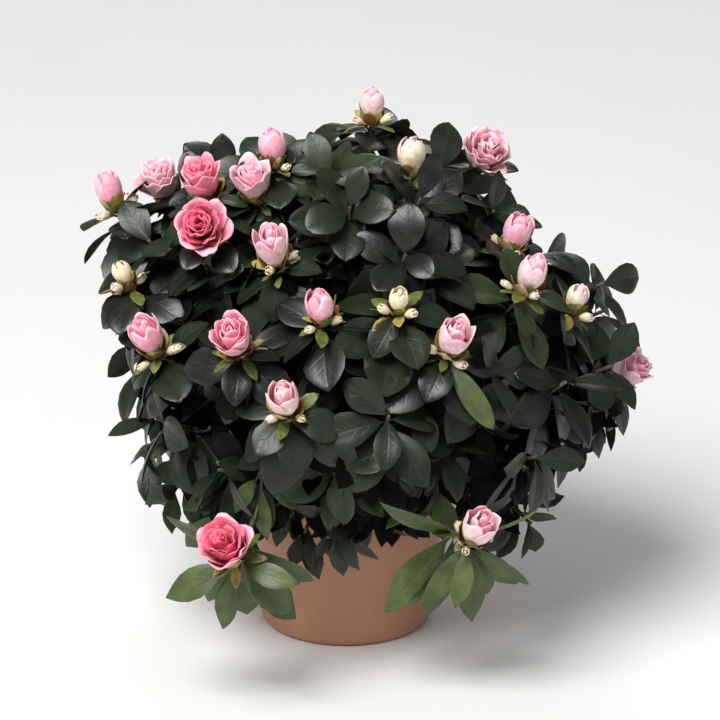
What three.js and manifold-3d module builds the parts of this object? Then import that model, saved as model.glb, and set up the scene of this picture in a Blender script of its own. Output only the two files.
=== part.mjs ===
// A flowering azalea shrub in its nursery pot.
// Millimetres, +Z up. The front is toward -Y, and the origin is the centre of the pot's flat underside.

import * as THREE from 'three';
import { mergeVertices } from 'three/addons/utils/BufferGeometryUtils.js';
import Module from 'manifold-3d';

const { Manifold, Mesh: SolidMesh } = await loadSolids();

// ---------------------------------------------------------------- driving dimensions

const GAP = 0.3;                        // clear space between solids that meet
const SLIVER = 0.05;                    // edges shorter than this are closed up after a cut or join
const GOLDEN_ANGLE = Math.PI * (3 - Math.sqrt(5));
const UP = new THREE.Vector3(0, 0, 1);

const POT = {
  height: 108,
  wall: 2,
  sides: 32,
  rimRadius: 65,                        // at the top edge
  rimHeight: 25,
  rimTaper: 1.5,                        // how much narrower the band is at its lower edge
  stepHeight: 7,                        // the slanted shelf under the band
  neckRadius: 56,                       // the body just under the shelf
  baseRadius: 47.5,
  cornerRadius: 4,
};

const POT_MARGIN = 2;                   // how far foliage keeps from the pot

const SOIL = { level: 93, mound: 2 };   // height at the wall, and how much higher it is in the middle

const TRUNK = {
  foot: new THREE.Vector3(-3, 3, SOIL.level + SOIL.mound + GAP),
  tip: new THREE.Vector3(8, -1, 153),
  bow: new THREE.Vector3(-3, 3, 120),   // straight above the foot, from where the trunk leans over
  footRadius: 8.5,
  tipRadius: 4.6,
  flare: 4.5,                           // what the root flare adds at the soil
  flareLength: 0.09,                    // how fast it fades, as a share of the trunk's length
  sides: 10,
  segments: 9,
};

const HUB = new THREE.Vector3(5, 0, 132);   // the point that the boughs and masses spread from
const HEART_RADIUS = 60;                    // boughs end at this distance from the hub, and masses begin

const BOUGH = { sides: 6, segments: 4, rootRadius: 3.2, tipRadius: 2.6, archAt: 26 };
const LOW_FORKS = [109, 117];               // heights where the low boughs leave the trunk, in turn
const HIGH_FORKS = [125, 132];              // and the high ones

// Each mass of foliage: its compass bearing (0 to the right, -90 to the front), its lift above the
// horizontal, and how far from the hub its shoots reach.
const MASSES = [
  { name: 'front_skirt', bearing: -90, lift: -10, reach: 122 },
  { name: 'front_right_skirt', bearing: -30, lift: -6, reach: 146 },
  { name: 'back_right_skirt', bearing: 30, lift: -6, reach: 138 },
  { name: 'back_skirt', bearing: 90, lift: -8, reach: 130 },
  { name: 'back_left_skirt', bearing: 150, lift: -8, reach: 126 },
  { name: 'front_left_skirt', bearing: 210, lift: -10, reach: 120 },
  { name: 'right_shoulder', bearing: 0, lift: 36, reach: 132 },
  { name: 'back_right_shoulder', bearing: 60, lift: 36, reach: 132 },
  { name: 'back_left_shoulder', bearing: 120, lift: 36, reach: 140 },
  { name: 'left_shoulder', bearing: 180, lift: 38, reach: 146 },
  { name: 'front_left_shoulder', bearing: 240, lift: 36, reach: 138 },
  { name: 'front_right_shoulder', bearing: 300, lift: 36, reach: 130 },
  { name: 'crown_top', bearing: -30, lift: 86, reach: 146 },
];
const MASS_GAP = 0.2;                       // how far each mass keeps from the walls of its space
const REACH_BLEND = 10;                     // how sharply the reach turns from one mass's to the next
const HANG = 0.4;                           // how much shorter shoots are toward straight down

// The dense inside of each mass, a flattened ball that the shoots stand out of.
const CORE = { place: 0.58, across: 44, trim: 3, underside: 96, detail: 1 };

// The flowering shoots of the front: bearing and lift in degrees, how open the flower is (0 a green
// bud, 1 fully open) and, for those that stand out or hang low, by how much they outreach the rest.
const FLOWERS = [
  [67, 77, 0.25, 1.09], [-45, 75, 0.3], [24, 55, 0.85, 1.04], [-166, 72, 0.3], [161, 46, 0.7],
  [-165, 56, 0.6], [-158, 64, 0.6], [-157, 49, 0.9], [-126, 50, 0.45], [-107, 38, 0.3],
  [-154, 23, 0.4], [-127, 28, 0.55], [-113, 17, 0.4], [-73, 29, 0.45], [-41, 38, 0.35],
  [-17, 47, 0.35], [-18, 27, 0.15, 1.05], [-6, 3, 0.55, 1.05], [-70, -13, 0.45, 1.2],
  [-124, -14, 0.85, 1.35], [165, 39, 0.3, 1.16], [-85, 40, 0.1], [-172, 32, 0.1],
];
const BACK_FLOWER_EVERY = 3;                // every third shoot of the back flowers too

// The other shoots lie on a spiral of even spacing round the crown.
const SPIRAL = { shoots: 78, lowestSine: -0.52, clearOfFlower: 0.21 };

const SHOOT = {
  stemShare: 0.66,                          // a mass's stem ends at this share of its reach
  stemRadius: 2.6,
  stemTipRadius: 1.8,
  twigRadius: 2.8,
  twigTipRadius: 2.4,
  segments: 3,
  lead: 30,                                 // the last stretch, where a twig turns to its own axis
  upturn: [0.1, 0.55],                      // how much shoots turn upward, at the foot and the top
  inset: 0.08,                              // how far a shoot leans in from its mass's walls
  unevenness: 0.06,
};

const LEAF = {
  length: [34, 46],                         // upper leaves of a rosette, and its lower ones
  aspect: 0.56,
  widestAt: 0.58,
  thickness: 1.6,
  cup: 0.05,
  tipDrop: 0.12,
  spread: [44, 98],                         // degrees from the shoot's axis, upper and lower leaves
  underFlower: 20,                          // what a flower adds to the spread of the upper leaves
  droop: 0.5,
  pitch: 2.4,                               // spacing of the leaves down the shoot
  perShoot: 6,
  perFlower: 6,
};
const TRY_SIZES = [1, 0.8, 0.6];            // what doesn't fit is tried smaller, then left out
const LOWER_LEAVES = [28];                  // single leaves further down the shoot

const FLOWER = {
  sides: 6,
  radius: [5, 16],                          // closed and open
  height: [12, 24],
  fullHeightAt: 0.4,                        // the openness from which a flower has its full height
  sunk: 2.5,
};

// ---------------------------------------------------------------- shapes and solids

async function loadSolids() {
  const wasm = await Module();
  wasm.setup();
  return wasm;
}

const mix = (from, to, share) => from + (to - from) * share;
const clamp = THREE.MathUtils.clamp;

// A generator of numbers from 0 to 1, the same for the same seed.
function randomFrom(seed) {
  let state = seed * 7919 + 17;
  const draw = () => {
    state = (state * 48271) % 2147483647;
    return state / 2147483647;
  };
  draw();
  draw();
  return draw;
}

function direction(bearing, lift) {
  const around = THREE.MathUtils.degToRad(bearing);
  const above = THREE.MathUtils.degToRad(lift);
  return new THREE.Vector3(
    Math.cos(above) * Math.cos(around),
    Math.cos(above) * Math.sin(around),
    Math.sin(above),
  );
}

function solidOf(geometry) {
  geometry.deleteAttribute('normal');
  geometry.deleteAttribute('uv');
  const merged = mergeVertices(geometry);
  return new Manifold(new SolidMesh({
    numProp: 3,
    vertProperties: new Float32Array(merged.attributes.position.array),
    triVerts: new Uint32Array(merged.index.array),
  }));
}

// The largest connected body of a solid, without slivers, loose scraps or sealed hollows.
function mainBody(solid) {
  return solid.simplify(SLIVER).decompose()
    .reduce((best, body) => (body.volume() > best.volume() ? body : best));
}

function touches(solid, other) {
  const [one, two] = [solid.boundingBox(), other.boundingBox()];
  const apart = [0, 1, 2].some((i) => one.max[i] < two.min[i] || two.max[i] < one.min[i]);
  return !apart && !solid.intersect(other).isEmpty();
}

function geometryOf(solid) {
  const { vertProperties, triVerts } = solid.getMesh();
  const geometry = new THREE.BufferGeometry();
  geometry.setAttribute('position', new THREE.BufferAttribute(vertProperties, 3));
  geometry.setIndex(new THREE.BufferAttribute(triVerts, 1));
  geometry.computeVertexNormals();
  return geometry;
}

function pointsOf(geometry) {
  const position = geometry.attributes.position;
  return Array.from({ length: position.count }, (_, i) => (
    new THREE.Vector3().fromBufferAttribute(position, i)
  ));
}

// A cylinder bent along a curve, with its radius given along the way.
function limb(curve, radiusAt, sides, segments) {
  const geometry = new THREE.CylinderGeometry(1, 1, 1, sides, segments);
  const { normals, binormals } = curve.computeFrenetFrames(segments);
  const position = geometry.attributes.position;
  for (let i = 0; i < position.count; i += 1) {
    const along = clamp(position.getY(i) + 0.5, 0, 1);
    const ring = Math.round(along * segments);
    const radius = radiusAt(along);
    const point = curve.getPointAt(along)
      .addScaledVector(normals[ring], radius * position.getX(i))
      .addScaledVector(binormals[ring], -radius * position.getZ(i));
    position.setXYZ(i, point.x, point.y, point.z);
  }
  return geometry;
}

function taperedLimb(curve, rootRadius, tipRadius, sides, segments) {
  return limb(curve, (along) => mix(rootRadius, tipRadius, along), sides, segments);
}

// ---------------------------------------------------------------- pot and soil

// Turns a profile of [radius, height] points about the Z axis.
function turned(profile, sides) {
  const points = profile.map(([radius, height]) => new THREE.Vector2(radius, height));
  return new THREE.LatheGeometry(points, sides).rotateX(Math.PI / 2);
}

function wallRadius(height) {
  const shelf = POT.height - POT.rimHeight - POT.stepHeight;
  return mix(POT.baseRadius, POT.neckRadius, clamp(height / shelf, 0, 1));
}

function potGeometry() {
  const shelf = POT.height - POT.rimHeight - POT.stepHeight;
  const corner = [0, 30, 60, 90].map((degrees) => {
    const turn = THREE.MathUtils.degToRad(degrees);
    return [
      POT.baseRadius - POT.cornerRadius * (1 - Math.sin(turn)),
      POT.cornerRadius * (1 - Math.cos(turn)),
    ];
  });
  const bandFoot = POT.rimRadius - POT.rimTaper;
  const outside = [
    ...corner,
    [POT.neckRadius, shelf],
    [bandFoot, shelf + POT.stepHeight],
    [POT.rimRadius, POT.height - 1],
    [POT.rimRadius - 0.7, POT.height],
  ];
  const inside = [
    [POT.rimRadius - POT.wall, POT.height],
    [bandFoot - POT.wall, shelf + POT.stepHeight],
    [POT.neckRadius - POT.wall, shelf],
    [POT.baseRadius - POT.wall, POT.wall],
  ];
  return turned([[0, 0], ...outside, ...inside, [0, POT.wall]], POT.sides);
}

function soilGeometry() {
  const shelf = POT.height - POT.rimHeight - POT.stepHeight;
  const lining = POT.wall + GAP;
  const bandRadius = mix(POT.neckRadius, POT.rimRadius, (SOIL.level - shelf) / POT.rimHeight);
  return turned([
    [0, lining],
    [wallRadius(lining) - lining, lining],
    [POT.neckRadius - lining, shelf],
    [bandRadius - lining, SOIL.level],
    [TRUNK.footRadius + TRUNK.flare + 6, SOIL.level + SOIL.mound],
    [0, SOIL.level + SOIL.mound],
  ], POT.sides);
}

// The room that the pot takes, with a margin.
function potSpaceGeometry() {
  const radius = POT.rimRadius + POT_MARGIN;
  const height = POT.height + POT_MARGIN;
  return turned([[0, -height], [radius, -height], [radius, height], [0, height]], POT.sides);
}

// ---------------------------------------------------------------- trunk and boughs

const trunkCurve = new THREE.QuadraticBezierCurve3(TRUNK.foot, TRUNK.bow, TRUNK.tip);

function trunkGeometry(extra = 0) {
  const radiusAt = (along) => (
    mix(TRUNK.footRadius, TRUNK.tipRadius, along)
    + TRUNK.flare * Math.exp(-along / TRUNK.flareLength)
    + extra
  );
  return limb(trunkCurve, radiusAt, TRUNK.sides, TRUNK.segments);
}

// The masses with their direction, the walls of their space and the limb that carries them.
// A mass's space is the cone from the hub whose points lie nearer to its direction than to any other.
function planMasses() {
  const toward = MASSES.map(({ bearing, lift }) => direction(bearing, lift));
  return MASSES.map((mass, i) => {
    const walls = toward.filter((_, j) => j !== i)
      .map((other) => toward[i].clone().sub(other).normalize());
    return { ...mass, toward: toward[i], walls, carrier: carrierOf(mass, toward[i], i) };
  });
}

// The top mass sits on the trunk's tip, and every other mass on a bough of its own.
function carrierOf(mass, toward, index) {
  if (mass.name === 'crown_top') return trunkCurve;
  const forks = mass.lift < 0 ? LOW_FORKS : HIGH_FORKS;
  const height = forks[index % forks.length];
  const fork = trunkCurve.getPointAt((height - TRUNK.foot.z) / (TRUNK.tip.z - TRUNK.foot.z));
  const arch = HUB.clone().addScaledVector(toward, BOUGH.archAt);
  const tip = HUB.clone().addScaledVector(toward, HEART_RADIUS);
  return new THREE.QuadraticBezierCurve3(fork, arch, tip);
}

function boughSolid(mass) {
  const { rootRadius, tipRadius, sides, segments } = BOUGH;
  const whole = solidOf(taperedLimb(mass.carrier, rootRadius, tipRadius, sides, segments));
  return mainBody(whole.subtract(solidOf(trunkGeometry(GAP))));
}

// ---------------------------------------------------------------- shoots

// How far shoots reach in a direction: the reaches of the masses round about, blended.
function reachToward(toward, masses) {
  let total = 0;
  let weights = 0;
  for (const mass of masses) {
    const weight = Math.max(0, toward.dot(mass.toward)) ** REACH_BLEND;
    total += weight * mass.reach;
    weights += weight;
  }
  return (total / weights) * (1 - HANG * Math.max(0, -toward.z));
}

function shootDirections() {
  const flowering = FLOWERS.map(([bearing, lift, openness, stand = 1]) => (
    { toward: direction(bearing, lift), openness, stand }
  ));
  const others = [];
  for (let i = 0; i < SPIRAL.shoots; i += 1) {
    const sine = mix(1, SPIRAL.lowestSine, (i + 0.5) / SPIRAL.shoots);
    const lift = THREE.MathUtils.radToDeg(Math.asin(sine));
    const toward = direction(THREE.MathUtils.radToDeg(i * GOLDEN_ANGLE), lift);
    const crowded = flowering.some((flower) => flower.toward.angleTo(toward) < SPIRAL.clearOfFlower);
    const flowers = toward.y > 0 && i % BACK_FLOWER_EVERY === 0;
    const openness = flowers ? 0.2 + 0.7 * randomFrom(i)() : 0;
    if (!crowded) others.push({ toward, openness, stand: 1 });
  }
  return [...flowering, ...others];
}

// Gives every shoot to the mass whose space it lies in, leans it in from the walls of that space,
// and finds its tip and the axis that its leaves stand round.
function planShoots(masses) {
  return shootDirections().map(({ toward, openness, stand }, index) => {
    const random = randomFrom(index + 1);
    const mass = masses.reduce((best, other) => (
      other.toward.dot(toward) > best.toward.dot(toward) ? other : best
    ));
    for (const wall of mass.walls) {
      toward.addScaledVector(wall, Math.max(0, SHOOT.inset - toward.dot(wall)));
    }
    toward.normalize();
    const reach = stand * reachToward(toward, masses) * (1 + SHOOT.unevenness * (2 * random() - 1));
    const [least, most] = SHOOT.upturn;
    const axis = toward.clone().addScaledVector(UP, clamp(most + toward.z, least, most)).normalize();
    const tip = HUB.clone().addScaledVector(toward, reach);
    return { mass, toward, tip, axis, openness, random };
  });
}

function stemCurve(mass) {
  const heading = mass.carrier.getTangentAt(1);
  const start = mass.carrier.getPointAt(1).addScaledVector(heading, GAP);
  const end = HUB.clone().addScaledVector(mass.toward, SHOOT.stemShare * mass.reach);
  const bend = start.clone().addScaledVector(heading, start.distanceTo(end) / 2);
  return new THREE.QuadraticBezierCurve3(start, bend, end);
}

// A twig leaves the stem further back the more it turns aside.
function twigCurve(shoot, stem) {
  const aside = shoot.toward.angleTo(shoot.mass.toward);
  const root = stem.getPointAt(clamp(1 - aside, 0.25, 0.97));
  const lead = shoot.tip.clone().addScaledVector(shoot.axis, -SHOOT.lead);
  return new THREE.QuadraticBezierCurve3(root, lead, shoot.tip);
}

// True where all points lie in the mass's own space, outside the boughs' heart and clear of the pot.
function fits(points, mass) {
  return points.every((point) => {
    const away = point.clone().sub(HUB);
    const clearOfPot = Math.hypot(point.x, point.y) > POT.rimRadius + POT_MARGIN
      || point.z > POT.height + POT_MARGIN;
    return clearOfPot
      && away.length() > HEART_RADIUS + 1
      && mass.walls.every((wall) => away.dot(wall) > MASS_GAP);
  });
}

// ---------------------------------------------------------------- leaves and flowers

// A leaf of eight faces: its root at the origin, its length along X and its upper side up Z.
function leafGeometry(length) {
  const leaf = new THREE.OctahedronGeometry(1);
  const position = leaf.attributes.position;
  for (let i = 0; i < position.count; i += 1) {
    const [end, side, face] = [position.getX(i), position.getY(i), position.getZ(i)];
    const along = length * (end > 0 ? 1 : LEAF.widestAt * (1 + end));
    const rise = Math.abs(side) * LEAF.cup * length - Math.max(0, end) * LEAF.tipDrop * length;
    position.setXYZ(
      i,
      along,
      side * LEAF.aspect * length / 2,
      face * LEAF.thickness / 2 + rise,
    );
  }
  return leaf;
}

// Sets X along the heading and Z as near to the given upper side as it can be.
function aimed(geometry, root, heading, upper) {
  const side = upper.clone().cross(heading).normalize();
  const top = heading.clone().cross(side);
  const place = new THREE.Matrix4().makeBasis(heading, side, top).setPosition(root);
  return geometry.applyMatrix4(place);
}

function leafHeading(axis, around, spread) {
  const across = new THREE.Vector3(1, 0, 0).cross(axis).normalize();
  const other = axis.clone().cross(across);
  return axis.clone().multiplyScalar(Math.cos(spread))
    .addScaledVector(across, Math.sin(spread) * Math.cos(around))
    .addScaledVector(other, Math.sin(spread) * Math.sin(around))
    .addScaledVector(UP, -LEAF.droop)
    .normalize();
}

// The leaves of a shoot, from the tip of its twig downward: a rosette, and a few single ones below.
function leavesOf({ random, axis, openness }) {
  const count = openness > 0 ? LEAF.perFlower : LEAF.perShoot;
  const upperSpread = LEAF.spread[0] + (openness > 0 ? LEAF.underFlower : 0);
  const start = 2 * Math.PI * random();
  const leaves = [];
  for (let k = 0; k < count + LOWER_LEAVES.length; k += 1) {
    const down = Math.min(1, k / (count - 1));
    const spread = mix(upperSpread, LEAF.spread[1], down) + 12 * (random() - 0.5);
    const length = mix(...LEAF.length, down) * (1 + 0.16 * (random() - 0.5));
    const back = k < count ? LEAF.pitch * (k + 1) : LOWER_LEAVES[k - count];
    const heading = leafHeading(axis, start + k * GOLDEN_ANGLE, THREE.MathUtils.degToRad(spread));
    leaves.push({ back, heading, length });
  }
  return leaves;
}

// A leaf on its twig, as large as fits among the solids round it, or nothing.
function fittedLeaf(shoot, { back, heading, length }, obstacles) {
  const root = shoot.twig.getPointAt(1 - back / shoot.twig.getLength());
  for (const size of TRY_SIZES) {
    const geometry = aimed(leafGeometry(size * length), root, heading, shoot.axis);
    if (!fits(pointsOf(geometry), shoot.mass)) continue;
    const leaf = solidOf(geometry);
    if (!obstacles.some((other) => touches(leaf, other))) return leaf;
  }
  return null;
}

// A flower as large as fits, or nothing.
function flowerSolid(shoot) {
  const size = TRY_SIZES.find((each) => fits(pointsOf(flowerGeometry(shoot, each)), shoot.mass));
  return size ? solidOf(flowerGeometry(shoot, size)) : null;
}

function flowerGeometry(shoot, size) {
  const radius = size * mix(...FLOWER.radius, shoot.openness);
  const height = size * mix(...FLOWER.height, Math.min(1, shoot.openness / FLOWER.fullHeightAt));
  const profile = [[0, 0], [0.4, 0.1], [1, 0.55], [0.8, 1], [0, 0.84]]
    .map(([out, along]) => [out * radius, along * height - FLOWER.sunk]);
  const turn = new THREE.Quaternion().setFromUnitVectors(UP, shoot.axis);
  return turned(profile, FLOWER.sides).applyQuaternion(turn)
    .translate(shoot.tip.x, shoot.tip.y, shoot.tip.z);
}

// The inside of a mass: a ball flattened toward the hub and trimmed by the walls of the mass's space,
// the pot and the open underside of the crown.
function coreSolid(mass) {
  const distance = CORE.place * mass.reach;
  const depth = distance - HEART_RADIUS - 1.5;
  const turn = new THREE.Quaternion().setFromUnitVectors(UP, mass.toward);
  const centre = HUB.clone().addScaledVector(mass.toward, distance);
  const ball = new THREE.IcosahedronGeometry(1, CORE.detail).scale(CORE.across, CORE.across, depth)
    .applyQuaternion(turn).translate(centre.x, centre.y, centre.z);
  const trimmed = mass.walls.reduce((core, wall) => (
    core.trimByPlane(wall.toArray(), HUB.dot(wall) + CORE.trim)
  ), solidOf(ball));
  return mainBody(trimmed.subtract(potSpace).trimByPlane(UP.toArray(), CORE.underside));
}

// One mass: its stem, and on it every twig with its flower and leaves, fused into one body. A leaf
// crosses no other leaf or flower, and no twig but its own.
function massSolid(mass, allShoots) {
  const stem = stemCurve(mass);
  const wood = [solidOf(taperedLimb(stem, SHOOT.stemRadius, SHOOT.stemTipRadius, 6, 3))];
  const shoots = allShoots.filter((shoot) => shoot.mass === mass).filter((shoot) => {
    shoot.twig = twigCurve(shoot, stem);
    const { twigRadius, twigTipRadius, segments } = SHOOT;
    const geometry = taperedLimb(shoot.twig, twigRadius, twigTipRadius, 3, segments);
    shoot.wood = solidOf(geometry);
    return fits(pointsOf(geometry), mass);
  });
  const heads = shoots.filter((shoot) => shoot.openness > 0).map(flowerSolid).filter(Boolean);
  const leaves = [];
  for (const shoot of shoots) {
    const otherWood = shoots.filter((other) => other !== shoot).map((other) => other.wood);
    for (const leaf of leavesOf(shoot)) {
      const solid = fittedLeaf(shoot, leaf, [...heads, ...otherWood, ...leaves]);
      if (solid) leaves.push(solid);
    }
  }
  wood.push(...shoots.map((shoot) => shoot.wood));
  return mainBody(Manifold.union([coreSolid(mass), ...wood, ...heads, ...leaves]));
}

// ---------------------------------------------------------------- assembly

const material = (color, roughness) => (
  new THREE.MeshStandardMaterial({ color, roughness, metalness: 0 })
);
const TERRACOTTA = material(0xa87a60, 0.55);
const PEAT = material(0x33261c, 0.95);
const BARK = material(0x6a5a45, 0.85);
const FOLIAGE = material(0x3a4a33, 0.5);

const azalea = new THREE.Group();
azalea.name = 'potted_azalea';

function add(name, geometry, finish) {
  const mesh = new THREE.Mesh(geometry, finish);
  mesh.name = name;
  azalea.add(mesh);
}

const potSpace = solidOf(potSpaceGeometry());
const masses = planMasses();
const shoots = planShoots(masses);

add('pot', potGeometry(), TERRACOTTA);
add('soil', soilGeometry(), PEAT);
add('trunk', trunkGeometry(), BARK);
for (const mass of masses) {
  if (mass.carrier !== trunkCurve) add(`bough_${mass.name}`, geometryOf(boughSolid(mass)), BARK);
  add(`foliage_${mass.name}`, geometryOf(massSolid(mass, shoots)), FOLIAGE);
}

export default azalea;
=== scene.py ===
"""A flowering azalea in its nursery pot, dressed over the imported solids.

Growth is worked out in millimetres, by the rule that placed the solids' shoots, and carried on to
side shoots. A mesh is written in metres, in the frame's place. The plant's front is toward -Y.
"""

import math

import bpy
import numpy as np
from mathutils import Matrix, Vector


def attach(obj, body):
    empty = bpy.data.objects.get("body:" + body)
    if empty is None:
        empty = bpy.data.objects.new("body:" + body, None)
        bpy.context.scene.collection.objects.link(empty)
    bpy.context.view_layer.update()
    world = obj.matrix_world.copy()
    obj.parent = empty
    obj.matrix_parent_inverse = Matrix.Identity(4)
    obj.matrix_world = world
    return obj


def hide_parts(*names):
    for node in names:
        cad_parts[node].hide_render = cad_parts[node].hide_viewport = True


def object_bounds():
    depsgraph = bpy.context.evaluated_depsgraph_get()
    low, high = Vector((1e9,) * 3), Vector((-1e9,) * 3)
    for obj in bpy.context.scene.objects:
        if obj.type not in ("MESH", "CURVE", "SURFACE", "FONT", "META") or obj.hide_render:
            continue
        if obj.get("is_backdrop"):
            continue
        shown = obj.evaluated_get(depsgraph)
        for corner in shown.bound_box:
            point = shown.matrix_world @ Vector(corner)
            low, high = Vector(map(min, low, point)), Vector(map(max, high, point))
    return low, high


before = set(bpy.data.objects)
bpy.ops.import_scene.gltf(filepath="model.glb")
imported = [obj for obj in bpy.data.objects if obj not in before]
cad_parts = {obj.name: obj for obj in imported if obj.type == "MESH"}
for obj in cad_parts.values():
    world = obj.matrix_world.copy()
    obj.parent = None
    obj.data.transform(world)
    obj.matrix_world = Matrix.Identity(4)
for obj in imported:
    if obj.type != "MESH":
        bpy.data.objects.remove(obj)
CAD_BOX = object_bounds()

MM = 0.001
GOLDEN_ANGLE = math.pi * (3 - math.sqrt(5))
UP = np.array([0.0, 0.0, 1.0])
FRONT = np.array([0.0, -1.0, 0.0])

# -------- sizes, in millimetres

POT = {
    "height": 108, "wall": 2, "rim_radius": 65, "rim_height": 25, "rim_taper": 1.5,
    "step_height": 7, "neck_radius": 56, "base_radius": 47.5, "corner_radius": 4,
}
POT_SHELF = POT["height"] - POT["rim_height"] - POT["step_height"]
SOIL_LEVEL = 93.0
SOIL_MOUND = 2.0
PEAT_FIBRES = 320
FOLIAGE_OFF_POT = 1.5  # how far leaves, scales and young leaves keep from the pot and the soil

HUB = np.array([5.0, 0.0, 132.0])
HEART_RADIUS = 60.0
BOUGH = {"root": 3.4, "tip": 2.2, "flare": 1.6, "flare_length": 0.12, "arch": 26.0}
TRUNK_LINE = np.array([(-3, 3, 94), (-3, 3, 120), (8, -1, 153)])
TRUNK = {"root": 8.5, "tip": 4.6, "flare": 4.5, "flare_length": 0.09}
LOW_FORKS = (109.0, 117.0)
HIGH_FORKS = (125.0, 132.0)

# Bearing (0 to the right, -90 to the front), lift above the horizontal and reach from the hub.
MASSES = {
    "front_skirt": (-90, -10, 122), "front_right_skirt": (-30, -6, 146),
    "back_right_skirt": (30, -6, 138), "back_skirt": (90, -8, 130),
    "back_left_skirt": (150, -8, 126), "front_left_skirt": (210, -10, 120),
    "right_shoulder": (0, 36, 132), "back_right_shoulder": (60, 36, 132),
    "back_left_shoulder": (120, 36, 140), "left_shoulder": (180, 38, 146),
    "front_left_shoulder": (240, 36, 138), "front_right_shoulder": (300, 36, 130),
    "crown_top": (-30, 86, 146),
}
REACH_BLEND = 10
HANG = 0.4

# Bearing, lift, openness, how far it outreaches the rest, and the flower's colouring.
FLOWERS = [
    (67, 77, 0.25, 1.09, "pale"), (-45, 75, 0.3, 1, "cream"), (24, 55, 0.85, 1.04, "pale"),
    (-166, 72, 0.3, 1, "rose"), (161, 46, 0.7, 1, "pale"), (-165, 56, 0.6, 1, "deep"),
    (-158, 64, 0.6, 1, "pale"), (-157, 49, 0.9, 1, "coral"), (-126, 50, 0.45, 1, "pale"),
    (-107, 38, 0.3, 1, "rose"), (-154, 23, 0.4, 1, "rose"), (-127, 28, 0.55, 1, "rose"),
    (-113, 17, 0.4, 1, "pale"), (-73, 29, 0.45, 1, "pale"), (-41, 38, 0.35, 1, "pale"),
    (-17, 47, 0.35, 1, "rose"), (-18, 27, 0.15, 1.05, "cream"), (-6, 3, 0.55, 1.05, "pale"),
    (-70, -13, 0.45, 1.2, "pale"), (-124, -14, 0.85, 1.35, "coral"), (165, 39, 0.3, 1.16, "rose"),
    (-85, 40, 0.1, 1, "green"), (-172, 32, 0.1, 1, "green"),
]
BUD_RISE, OPEN_RISE = 1.5, 0.2  # how much a closed bud and an open flower turn up
LOW_RISE = 5.0  # how much more an open flower does toward the crown's foot
TO_LIGHT = 1.2  # how much an open flower of the front faces it
LONG_LEAF_FLOWER = 13  # the flower, counted from 0, with one long olive leaf at its foot
LONG_LEAF = {"heading": (0.42, -0.65, -0.65), "length": 46, "aspect": 0.27, "bend": 0.5}
BACK_FLOWER_EVERY = 3
BACK_FLOWERS_BEHIND = 0.45  # how far back, of the reach, the back's own flowers start
BACK_FLOWERS_BELOW = 0.55  # and how high up they end
COLOURINGS = ("rose", "pale", "coral", "pale", "cream")  # what the back's flowers take in turn
# Leafy sprigs that fill the crown where the photograph shows it full: bearing, lift and how far they
# outreach the rest.
SPRIGS = [
    (-38, -26, 1.04), (-150, -29, 1.02), (-104, -25, 1), (-117, -28, 1), (4, 0, 1),
    (-14, -3, 0.96), (24, -7, 1.12), (176, -15, 1.12), (-166, -20, 1.12), (152, -22, 1.1),
    (8, 7, 1.04), (-14, 12, 1), (0, 17, 1.06), (-3, 24, 1.08), (12, 30, 1.06), (6, 52, 1),
    (42, 52, 1), (22, 66, 0.98), (60, 66, 0.98), (-102, 64, 0.97), (-78, 53, 0.97),
    (-122, 76, 0.95), (-60, 62, 0.95), (176, 54, 1.05), (-179, 67, 1.03), (166, 62, 1.02),
    (180, 40, 1.03),
]
HANGING_SPRIG = 1  # the sprig, counted from 0, with a hanging spray's olive leaves
SPRIG_TO_FRONT = 0.6  # how much a sprig leans to the front, so that its leaves show broad
# Below this sine of the lift, the photograph shows sky under the right flank, where no spiral shoots
# grow, and the pot's rim behind bare twigs to the right of its front: bearing and how near to it.
OPEN_BELOW_SINE = -0.12
OPEN_FLANK = (-5, 45)
BARE_FRONT = (-78, 14)
SPIRAL_SHOOTS = 78
SPIRAL_LOWEST_SINE = -0.52
CLEAR_OF_FLOWER = 0.21

STEM_SHARE = 0.66
LEAD = 30.0
UPTURN = (0.1, 0.55)
INSET = 0.08
UNEVENNESS = 0.06
HOLLOWS = 0.14  # how far a leafy shoot may stay behind the rest
LOW_TRIM = 0.35  # how much less far the lowest leafy shoots reach
HIGH_TRIM = 0.07  # and the highest

LEAF_THICKNESS = 0.35
PETAL_THICKNESS = 0.35
BRACT_THICKNESS = 0.3
LEAF_LENGTH = (30.0, 43.0)  # upper and lower leaves of a rosette
LOWEST_LEAF_SPREAD = 98  # from the shoot's axis, in degrees
# How a shoot carries its leaves: their size and count, how far below its tip they start, their
# spacing, the upper ones' spread from its axis in degrees, their droop, their width over their
# length, how pointed they are and how loosely they stand, in degrees.
HABITS = {
    "leafy": (1.0, 8, 0, 2.4, 46, 0.45, 0.6, 0.78, 30),
    "under_flower": (1.0, 9, 0, 1.8, 66, 0.3, 0.58, 0.8, 30),
    "side": (0.86, 5, 0, 2.4, 46, 0.5, 0.58, 0.78, 30),
    "inner": (1.1, 11, 16, 4.4, 70, 1.0, 0.66, 0.6, 40),
    "hanging": (1.35, 11, 0, 1.6, 62, 1.0, 0.37, 0.95, 44),
}
LOW_HABIT = {"size": 0.86, "aspect": 0.62, "point": 1.45, "loose": 1.8, "droop": 1.7}
HIGH_HABIT = {"size": 0.84, "spread": 0.72, "droop": 0.35}  # at the top, where leaves stand up
LOW_SPRAY_SINE = -0.2  # a flowering shoot below this hangs, and has larger olive leaves
SPRAY_TO_FRONT = 0.9  # how much a hanging spray faces the front
LEFT_SPRAY_SIZE = 0.9  # how large its leaves are on the left, against those on the right


# -------- numbers and directions

def mix(a, b, share):
    return a + (b - a) * share


def clamp(value, low, high):
    return max(low, min(high, value))


def random_from(seed):
    """Numbers from 0 to 1, the same for the same seed."""
    state = seed * 7919 + 17

    def draw():
        nonlocal state
        state = (state * 48271) % 2147483647
        return state / 2147483647

    draw()
    draw()
    return draw


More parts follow.
